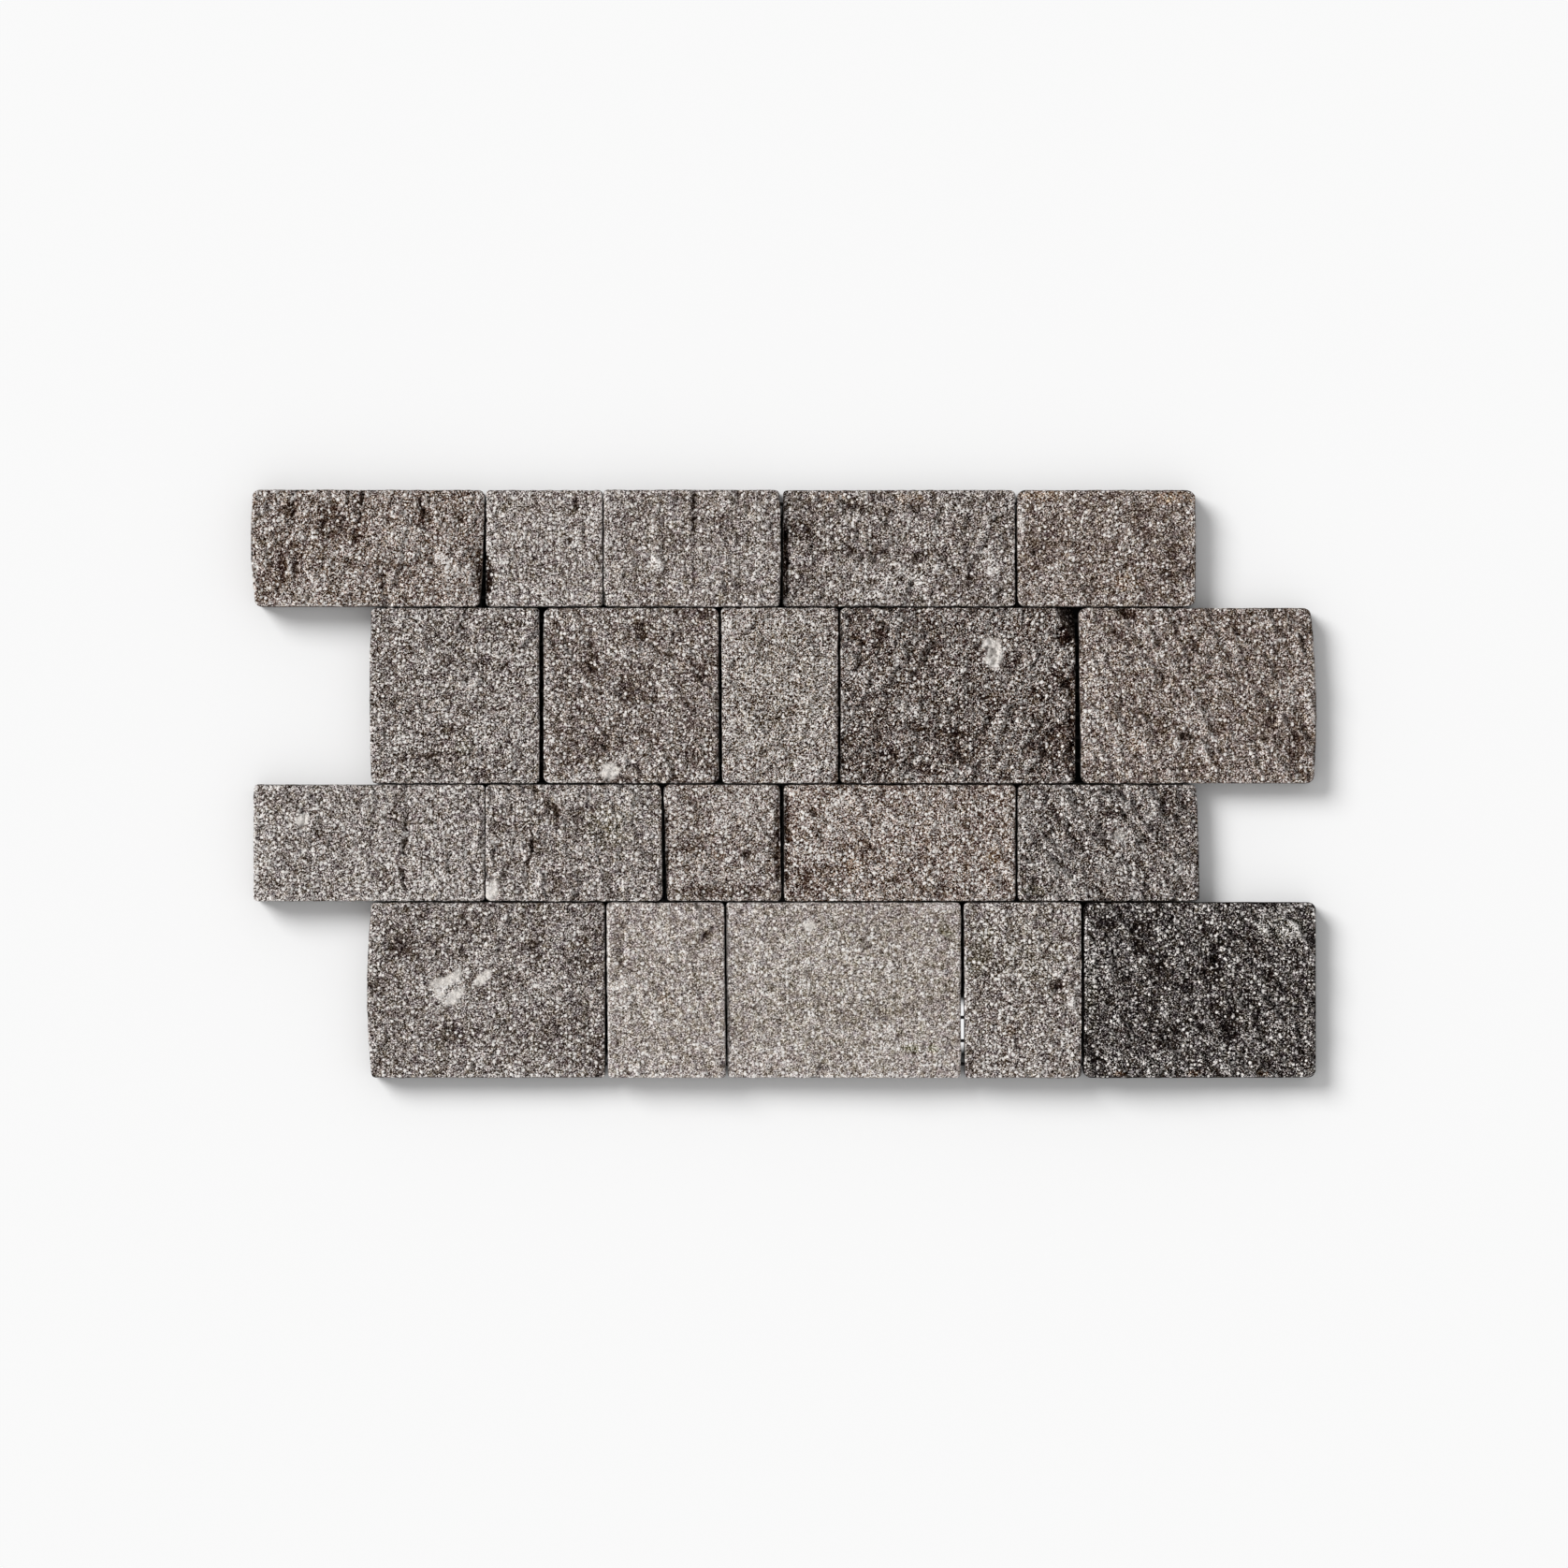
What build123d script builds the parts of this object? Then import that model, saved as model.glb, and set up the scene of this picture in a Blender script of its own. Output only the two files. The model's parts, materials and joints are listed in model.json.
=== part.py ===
from build123d import *
import os
from dataclasses import dataclass
from math import cos, radians, sin, tan

# Stone veneer panel: split lava stones in four interlocking courses, bonded by their sawn backs to a laid glass net.
# Millimetres, +Z up. The panel lies on its back, with the split faces up and the net's underside on Z = 0.
# The origin is under the panel's middle. +X runs along the courses, and +Y from the bottom course to the top one.

# Setting out
MODULE = 25.0  # stones are 2, 3 or 4 modules long, and courses 2 or 3 modules high
STAGGER = 50.0  # how far every other course is shifted to the right, so that panels interlock
BED_JOINT = 0.6  # open joint between two courses
JOINT = 1.0  # usual open joint between two stones of a course

# Stones
THICKNESS = 13.5  # usual rise from the sawn back to the middle of the split face
CORNER = 1.8  # usual radius of the upright corners
ARRIS = 0.8  # width taken off the edge round the split face by wear

# Net
YARN_WIDTH = 1.4
YARN_THICKNESS = 0.4  # of one layer: the weft lies on the warp
YARN_PITCH = 10.0  # as near as a whole number of meshes comes to it
NET_MARGIN = 5.0  # how far the net stays inside the area that all courses cover


@dataclass
class Fall:
    """A plane of the split face that falls towards one side or corner of its stone."""

    bearing: float  # degrees from +X, counter-clockwise, seen from above
    dip: float  # degrees below the level
    reach: float = 0.0  # how far in from that side it begins


@dataclass
class Scar:
    """Where a flake has left the split face: a ledge that runs in from a bed side and dies out, low on its right."""

    start: float  # how far along the bed side it begins, from the stone's left
    bearing: float  # the way it runs: under 180 degrees from the lower bed, and over 180 from the upper one
    length: float  # how far it runs before it dies out
    run: float  # how far from the ledge the scar has climbed back to the face
    depth: float  # of the ledge at its beginning


@dataclass
class Stone:
    """One stone of a course, and the joint that follows it."""

    modules: int  # nominal length
    tilt: Fall  # of the split face as a whole
    falls: tuple  # smaller planes along its sides and corners
    scars: tuple  # and the ledges that cross it
    proud: float = 0.0  # how far its middle rises above the usual thickness
    shy: float = 0.0  # how far it is cut short of its nominal length
    gap: float = 1.0  # joint to the next stone on its right, in usual joints
    wear: float = 1.0  # radius of its upright corners, in usual radii
    lean: tuple = (0.0, 0.0)  # how far its left and right side run to the right from their upper to their lower end
    bulge: tuple = (0.0, 0.0)  # how far its left and right side swell in their middle


@dataclass
class Course:
    """One course, with its stones from left to right."""

    name: str
    modules: int  # nominal height
    shifted: bool  # to the right, by the stagger
    stones: list


COURSES = [
    Course("top", 2, False, [
        Stone(
            4, Fall(20, 1.0), (Fall(0, 14, 8), Fall(235, 4, 18)),
            (Scar(17, 265, 24, 14, 1.6), Scar(46, 262, 26, 18, 1.5), Scar(71, 280, 22, 14, 1.3),
             Scar(8, 70, 26, 16, 1.4), Scar(55, 95, 20, 16, 1.4)),
            proud=1.0, shy=2.2, gap=0.8, wear=1.4, lean=(1.0, -2.0), bulge=(1.5, 0.5),
        ),
        Stone(
            2, Fall(180, 1.0), (Fall(90, 4, 12),), (Scar(38.5, 272, 13, 8, 1.1), Scar(12, 75, 26, 18, 0.9)),
            proud=-0.5, shy=0.5, gap=0.5,
        ),
        Stone(
            3, Fall(300, 1.0), (Fall(20, 5, 16), Fall(250, 4, 14)),
            (Scar(38, 270, 32, 16, 1.3), Scar(56, 258, 14, 10, 0.8), Scar(10, 65, 26, 18, 1.0)),
            proud=1.0, shy=0.6, gap=1.6, bulge=(0.0, 0.6),
        ),
        Stone(
            4, Fall(170, 2.0), (Fall(60, 4, 20), Fall(190, 6, 12)),
            (Scar(20, 300, 30, 20, 1.3), Scar(51, 75, 32, 22, 1.3), Scar(62, 285, 22, 16, 1.0)),
            proud=-1.0, shy=1.6, gap=0.9,
        ),
        Stone(
            3, Fall(100, 1.5), (Fall(0, 4, 18), Fall(110, 6, 8)),
            (Scar(30, 110, 26, 20, 1.0), Scar(48, 290, 20, 14, 0.9)),
            proud=-0.5, shy=-0.5, wear=2.0, bulge=(0.0, 0.4),
        ),
    ]),
    Course("upper", 3, True, [
        Stone(
            3, Fall(200, 1.0), (Fall(290, 4, 20), Fall(170, 4, 14)),
            (Scar(18, 20, 42, 12, 1.1), Scar(40, 250, 38, 22, 1.1)),
            shy=3.8, gap=1.8, bulge=(0.9, 0.0),
        ),
        Stone(
            3, Fall(330, 1.5), (Fall(200, 6, 12), Fall(60, 4, 14)),
            (Scar(25, 60, 16, 9, 1.4), Scar(48, 285, 42, 20, 1.1), Scar(14, 280, 26, 20, 0.9)),
            proud=-0.5, shy=0.7, wear=1.8,
        ),
        Stone(
            2, Fall(290, 2.0), (Fall(135, 4, 20),),
            (Scar(11, 35, 30, 9, 1.2), Scar(-2, 36, 46, 10, 1.2), Scar(-14, 38, 62, 13, 1.4)),
            shy=0.3, gap=0.9, lean=(0.6, 0.0),
        ),
        Stone(
            4, Fall(330, 2.5), (Fall(180, 6, 10), Fall(28, 62, 7.7)),
            (Scar(20, 290, 46, 28, 1.5), Scar(25, 60, 46, 22, 1.5), Scar(70, 255, 42, 18, 1.3)),
            proud=0.5, shy=0.3, gap=1.4, wear=1.2,
        ),
        Stone(
            4, Fall(20, 1.5), (Fall(180, 9, 9), Fall(270, 4, 18)),
            (Scar(18.5, 295, 32, 10, 1.2), Scar(36.5, 296, 30, 10, 1.3), Scar(53.5, 294, 36, 13, 1.3),
             Scar(40, 62, 30, 18, 1.0)),
            proud=-1.0, shy=1.6, wear=1.8, lean=(1.2, 1.4), bulge=(0.0, 1.8),
        ),
    ]),
    Course("lower", 2, False, [
        Stone(
            4, Fall(0, 1.2), (Fall(180, 5, 12), Fall(60, 4, 22)),
            (Scar(64, 268, 52, 22, 1.3), Scar(25, 80, 26, 24, 0.9)),
            shy=2.0, gap=0.3,
        ),
        Stone(
            3, Fall(240, 1.5), (Fall(60, 4, 22), Fall(180, 5, 10)),
            (Scar(28, 262, 26, 14, 1.4), Scar(15, 80, 30, 14, 1.3), Scar(50, 275, 24, 16, 1.0)),
            proud=0.5, shy=0.5, gap=1.1, wear=1.4, lean=(0.0, 0.6),
        ),
        Stone(
            2, Fall(270, 2.0), (Fall(150, 4, 14),), (Scar(15, 60, 26, 16, 0.9), Scar(30, 285, 18, 12, 0.9)),
            proud=-1.0, shy=0.9, gap=2.1, lean=(1.4, 0.8),
        ),
        Stone(
            4, Fall(315, 1.5), (Fall(160, 5, 18), Fall(270, 4, 10)),
            (Scar(30, 290, 30, 22, 1.1), Scar(65, 100, 26, 18, 1.0)),
            proud=-0.5, shy=1.8, gap=0.9,
        ),
        Stone(
            3, Fall(0, 2.0), (Fall(250, 5, 12), Fall(100, 5, 10)),
            (Scar(-2, 310, 48, 11, 1.5), Scar(15.5, 311, 52, 11, 1.6), Scar(40, 309, 42, 12, 1.4)),
            proud=-1.0, shy=-0.6, lean=(0.0, 1.6), bulge=(0.0, 0.4),
        ),
    ]),
    Course("bottom", 3, True, [
        Stone(
            4, Fall(340, 1.5), (Fall(160, 5, 18), Fall(270, 4, 14)),
            (Scar(20, 50, 42, 26, 1.1), Scar(60, 250, 42, 22, 1.1)),
            proud=-1.0, shy=1.0, gap=0.6, bulge=(1.9, 0.0),
        ),
        Stone(
            2, Fall(190, 1.0), (Fall(50, 12, 9),), (Scar(15, 75, 30, 16, 0.8), Scar(22, 260, 24, 16, 0.7)),
            proud=0.5, shy=0.1, gap=0.8, lean=(0.8, 0.8),
        ),
        Stone(
            4, Fall(180, 1.5), (Fall(290, 4, 16), Fall(60, 4, 12)), (Scar(60, 265, 40, 26, 0.7),),
            shy=0.3, gap=1.2, lean=(0.8, 0.0),
        ),
        Stone(
            2, Fall(200, 1.0), (Fall(330, 4, 22), Fall(120, 6, 9), Fall(348, 60, 2.7)), (Scar(18, 275, 36, 18, 0.9),),
            proud=1.0, lean=(0.6, 0.0),
        ),
        Stone(
            4, Fall(350, 2.5), (Fall(45, 6, 16), Fall(241, 50, 4.2)),
            (Scar(9, 312, 60, 13, 1.6), Scar(30, 313, 72, 15, 1.8), Scar(61, 310, 40, 14, 1.5)),
            proud=-0.5, shy=1.4, wear=1.8,
        ),
    ]),
]

# Worked out from the sizes above
COURSE_LENGTH = MODULE * sum(stone.modules for stone in COURSES[0].stones)
PANEL_LENGTH = COURSE_LENGTH + STAGGER
PANEL_HEIGHT = MODULE * sum(course.modules for course in COURSES)
NET_THICKNESS = 2 * YARN_THICKNESS
NET_LENGTH = COURSE_LENGTH - STAGGER - 2 * NET_MARGIN
NET_HEIGHT = PANEL_HEIGHT - 2 * NET_MARGIN


@dataclass
class SplitFace:
    """The main plane of a stone's split face: its middle, and how its height changes along a level way."""

    middle: Vector
    change: Vector

    def at(self, place):
        """The point of the plane above or below a place."""
        away = place - self.middle
        return Vector(place.X, place.Y, self.middle.Z + self.change.X * away.X + self.change.Y * away.Y)


def towards(bearing):
    """The level direction of a bearing."""
    return Vector(cos(radians(bearing)), sin(radians(bearing)))


def change_of(fall):
    """How the height of a fall changes for each millimetre of a level way."""
    return towards(fall.bearing) * -tan(radians(fall.dip))


def sloping_plane(change, origin):
    """The plane through a point whose height changes so, with its normal pointing up."""
    return Plane(origin=origin, z_dir=Vector(0, 0, 1) - change)


def stone_side(start, end, bulge):
    """A side of a stone's outline, straight or swelling outwards."""
    if bulge:
        SagittaArc(start, end, -bulge)
    else:
        Line(start, end)


def cut_scar(scar, face, bed, left):
    """Cuts a flake scar into a stone: its floor, and the ledge that stands square on the floor's lowest line."""
    way = towards(scar.bearing)
    right = way.rotate(Axis.Z, -90 if scar.bearing < 180 else 90)
    lowest = face.at(Vector(left + scar.start, bed)) - Vector(0, 0, scar.depth)
    climb = way * (scar.depth / scar.length) + right * (scar.depth / scar.run)
    up = (Vector(0, 0, 1) - face.change - climb).normalized()
    with Locations(Plane(origin=lowest, x_dir=right - up * right.dot(up), z_dir=up)):
        Box(
            2 * scar.run,
            4 * scar.length,
            2 * scar.depth,
            align=(Align.MIN, Align.CENTER, Align.MIN),
            mode=Mode.SUBTRACT,
        )


def split_stone(stone, left, bottom, length, height):
    """One stone, from the left and bottom of its place: sawn sides and back, and a split face with a worn arris."""
    right, top = left + length, bottom + height
    lower_left, lower_right = (left + stone.lean[0], bottom), (right + stone.lean[1], bottom)
    rise = THICKNESS + stone.proud
    middle = Vector((left + right) / 2, (bottom + top) / 2, NET_THICKNESS + rise)
    face = SplitFace(middle, change_of(stone.tilt))
    with BuildPart() as piece:
        with BuildSketch(Plane.XY.offset(NET_THICKNESS)) as outline:
            with BuildLine():
                Line(lower_left, lower_right)
                stone_side(lower_right, (right, top), stone.bulge[1])
                Line((right, top), (left, top))
                stone_side((left, top), lower_left, stone.bulge[0])
            make_face()
            fillet(outline.vertices(), radius=CORNER * stone.wear)
        extrude(amount=rise + face.change.length * (length + height))
        split(bisect_by=sloping_plane(face.change, middle), keep=Keep.BOTTOM)
        chamfer(piece.faces().sort_by(Axis.Z)[-1].edges(), length=ARRIS)
        for fall in stone.falls:
            way = towards(fall.bearing)
            start = way * (abs(way.X) * length / 2 + abs(way.Y) * height / 2 - fall.reach)
            split(bisect_by=sloping_plane(change_of(fall), face.at(middle + start)), keep=Keep.BOTTOM)
        for scar in stone.scars:
            cut_scar(scar, face, bottom if scar.bearing < 180 else top, left)
    return piece.part


os.makedirs("parts", exist_ok=True)

# The courses are laid from the top one down, and each of them from the left
course_top = PANEL_HEIGHT / 2
for course in COURSES:
    course_height = course.modules * MODULE
    left = -PANEL_LENGTH / 2 + (STAGGER if course.shifted else 0)
    bottom = course_top - course_height + BED_JOINT / 2
    for number, stone in enumerate(course.stones, start=1):
        length = stone.modules * MODULE - stone.shy
        block = split_stone(stone, left, bottom, length, course_height - BED_JOINT)
        block.label = f"{course.name}_course_stone_{number}"
        export_step(block, f"parts/{block.label}.step")
        left += length + JOINT * stone.gap
    course_top -= course_height

# The warp lies lowest and runs along the courses, with its outer yarns at the net's upper and lower edge
warp_meshes = round(NET_HEIGHT / YARN_PITCH)
with BuildPart() as net_warp:
    with GridLocations(0, (NET_HEIGHT - YARN_WIDTH) / warp_meshes, 1, warp_meshes + 1):
        Box(NET_LENGTH, YARN_WIDTH, YARN_THICKNESS, align=(Align.CENTER, Align.CENTER, Align.MIN))
net_warp.part.label = "net_warp_yarns"
export_step(net_warp.part, "parts/net_warp_yarns.step")

# The weft lies on the warp and carries the stones, with its outer yarns at the net's ends
weft_meshes = round(NET_LENGTH / YARN_PITCH)
with BuildPart(Plane.XY.offset(YARN_THICKNESS)) as net_weft:
    with GridLocations((NET_LENGTH - YARN_WIDTH) / weft_meshes, 0, weft_meshes + 1, 1):
        Box(YARN_WIDTH, NET_HEIGHT, YARN_THICKNESS, align=(Align.CENTER, Align.CENTER, Align.MIN))
net_weft.part.label = "net_weft_yarns"
export_step(net_weft.part, "parts/net_weft_yarns.step")
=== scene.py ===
# %% [markdown]
# # A stone veneer panel
# The real panel is twenty split lava stones in four staggered courses, bonded by their sawn backs to a
# glass-fibre net. It lies on its back, split faces up, as it does in its box. The CAD gives every stone its
# place, its outline and the planes of its split face. This script adds what makes it stone: crags, clefts,
# pits, crumbled edges, grain and colour.

import json
from dataclasses import dataclass
from functools import partial
from math import atan, cos, radians, sin

import bpy
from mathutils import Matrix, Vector

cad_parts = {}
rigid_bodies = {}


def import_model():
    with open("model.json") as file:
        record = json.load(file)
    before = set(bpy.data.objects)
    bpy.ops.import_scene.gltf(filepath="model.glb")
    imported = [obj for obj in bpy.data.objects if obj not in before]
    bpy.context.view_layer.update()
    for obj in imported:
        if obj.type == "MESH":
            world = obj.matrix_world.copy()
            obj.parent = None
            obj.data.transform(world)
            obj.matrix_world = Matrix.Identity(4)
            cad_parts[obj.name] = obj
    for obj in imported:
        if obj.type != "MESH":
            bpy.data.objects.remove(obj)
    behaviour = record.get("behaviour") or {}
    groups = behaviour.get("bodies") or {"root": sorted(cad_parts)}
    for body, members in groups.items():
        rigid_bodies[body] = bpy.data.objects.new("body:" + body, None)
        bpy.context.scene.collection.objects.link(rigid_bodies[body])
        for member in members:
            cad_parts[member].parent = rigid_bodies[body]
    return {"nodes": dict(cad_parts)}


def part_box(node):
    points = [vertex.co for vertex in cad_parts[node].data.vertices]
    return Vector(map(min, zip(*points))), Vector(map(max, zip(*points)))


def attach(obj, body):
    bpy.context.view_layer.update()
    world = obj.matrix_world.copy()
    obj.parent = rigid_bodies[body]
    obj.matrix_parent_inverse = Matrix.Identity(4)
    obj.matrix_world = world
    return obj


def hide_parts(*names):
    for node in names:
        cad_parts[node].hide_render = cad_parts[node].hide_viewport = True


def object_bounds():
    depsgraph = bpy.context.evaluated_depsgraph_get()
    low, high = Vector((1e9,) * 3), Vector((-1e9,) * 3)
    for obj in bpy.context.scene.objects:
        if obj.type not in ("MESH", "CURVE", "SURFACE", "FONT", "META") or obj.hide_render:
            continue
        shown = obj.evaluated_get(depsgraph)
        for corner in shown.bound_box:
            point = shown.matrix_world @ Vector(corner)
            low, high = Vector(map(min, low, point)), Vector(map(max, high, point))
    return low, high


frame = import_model()
cad_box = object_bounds()
MM = 0.001
print("CAD nodes:", len(frame["nodes"]))

# %% [markdown]
# ## Writing node trees as sums
# Relief and colour are both made of noise, and both are long sums. In the node editor each plus sign is a
# node and two links. Here a small class wraps a socket, so that `a + 2 * b` adds the Math nodes by itself.
# It works in a material and in Geometry Nodes alike, because the two share their texture and Math nodes.


# %% Sums of sockets
class Knot:
    """A socket of a node tree. A sum of knots adds the Math nodes that work it out."""

    def __init__(self, tree, socket=None):
        self.tree = tree
        self.socket = socket

    def add(self, kind, settings=None, values=None, out=0):
        """Adds a node: first its settings, then what its sockets take. Gives one of its outputs."""
        node = self.tree.nodes.new(kind)
        for name, value in (settings or {}).items():
            setattr(node, name, value)
        for name, value in (values or {}).items():
            if isinstance(value, Knot):
                self.tree.links.new(value.socket, node.inputs[name])
            else:
                node.inputs[name].default_value = value
        return Knot(self.tree, node.outputs[out]) if node.outputs else None

    def into(self, shader, name):
        """Links this socket to an input of a shader."""
        self.tree.links.new(self.socket, shader.inputs[name])

    def math(self, operation, *others):
        return self.add("ShaderNodeMath", {"operation": operation}, dict(enumerate((self, *others))))

    def vector(self, operation, *others):
        values = dict(enumerate((self, *others)))
        return self.add("ShaderNodeVectorMath", {"operation": operation}, values)

    def dot(self, other):
        values = {0: self, 1: other}
        return self.add("ShaderNodeVectorMath", {"operation": "DOT_PRODUCT"}, values, "Value")

    def scale(self, factor):
        values = {0: self, "Scale": factor}
        return self.add("ShaderNodeVectorMath", {"operation": "SCALE"}, values)

    def axis(self, name):
        return self.add("ShaderNodeSeparateXYZ", None, {0: self}, name)

    def step(self, low, high):
        """A soft step from 0 at low to 1 at high."""
        values = {"Value": self, "From Min": low, "From Max": high}
        return self.add("ShaderNodeMapRange", {"interpolation_type": "SMOOTHSTEP"}, values)

    def colour(self, other, share, blend="MIX"):
        """This colour with a share of another one."""
        settings = {"data_type": "RGBA", "blend_type": blend}
        return self.add("ShaderNodeMix", settings, {0: share, 6: self, 7: other}, 2)

    def __add__(self, other):
        return self.math("ADD", other)

    def __sub__(self, other):
        return self.math("SUBTRACT", other)

    def __rsub__(self, other):
        return (self * -1) + other

    def __mul__(self, other):
        return self.math("MULTIPLY", other)

    def __truediv__(self, other):
        return self.math("DIVIDE", other)

    def __rpow__(self, base):
        return self.add("ShaderNodeMath", {"operation": "POWER"}, {0: base, 1: self})

    __radd__ = __add__
    __rmul__ = __mul__


# %% Noise and cells
TO_MM = (1000, 1000, 1000)  # noise is written for millimetres, and the scene is in metres
HALF = (0.5, 0.5, 0.5)


def noise(place, size, detail=2.0, rough=0.5, out="Fac"):
    """Noise whose lumps are about this size, in the units of the place."""
    return place.add(
        "ShaderNodeTexNoise",
        {"noise_dimensions": "3D"},
        {"Vector": place, "Scale": 1 / size, "Detail": detail, "Roughness": rough},
        out,
    )


def cells(place, size, out="Distance"):
    """Cells of about this size: the distance from each one's middle, in cells, or its random colour."""
    values = {"Vector": place, "Scale": 1 / size}
    return place.add("ShaderNodeTexVoronoi", {"feature": "F1"}, values, out)


def elsewhere(place, number):
    """A place of its own for each stone, so that no two of them have the same noise."""
    return place.vector("ADD", (97.0 * number, 41.0 * number, 0))


# %% [markdown]
# ## What each stone looks like
# The twenty stones came from different blocks. Each has its own brightness, warmth and contrast of grain,
# its own roughness, and a direction in which it tends to cleave. Marks are what a mason would remember a
# stone by: a white fleck, a rusty edge, a cleft, a pit, a lighter or darker place. Dark marks are partly
# darker stone and partly painted shade on slopes that face away from the light. The strongest ones, of 1.6
# and more, lie along edges and a broken corner and are painted shadow in the joints. Pale marks are partly
# lighter, bruised stone, and the thin ones along left and lower edges are painted highlights. So are three
# thin white marks along left edges in the bottom course. They could be painted in Texture Paint, but a list
# can be read and changed. They are placed by the photograph's pixels, 63 of which are one 25 mm module.


# %% Marks
@dataclass
class Mark:
    """A spot on a split face: its middle and half sizes in mm, its turn in degrees, and its strength."""

    kind: str
    x: float
    y: float
    long: float
    wide: float
    turn: float
    strength: float


PIXEL = 25 / 63  # in millimetres
MIDDLE = 838  # of the photograph, in pixels
PALER, DARKER = 1.7, 1.7  # what a full mark does to the brightness, in powers of two
STAINS = {"rust": (11, 13), "olive": (-4, 10)}  # how much redder and yellower, in steps on the screen


def mark(kind, across, down, long, wide, turn=0.0, strength=1.0):
    """A mark from its place and half sizes in the photograph's pixels."""
    x, y = (across - MIDDLE) * PIXEL, (MIDDLE - down) * PIXEL
    return Mark(kind, x, y, long * PIXEL, wide * PIXEL, turn, strength)


@dataclass
class Stone:
    """The looks of one stone."""

    node: str
    tone: float  # brightness of the whole stone
    warmth: float  # 0 is grey, 1 is brown-grey
    contrast: float  # of its grain
    grains: float  # how many larger round grains it has, 0 to 1
    rough: float  # height of its crags
    furrow: float  # height of its furrows, in millimetres
    cleavage: float  # direction of its crags and furrows, in degrees from +X
    marks: list


# %% The twenty stones
pale, dark, white = partial(mark, "pale"), partial(mark, "dark"), partial(mark, "white")
rust, olive, pit = partial(mark, "rust"), partial(mark, "olive"), partial(mark, "pit")


def cleft(across, down, long, turn, strength=1.0):
    """A cleft from its middle, half length and direction."""
    return mark("cleft", across, down, long, 2.4, turn, strength)


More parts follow.
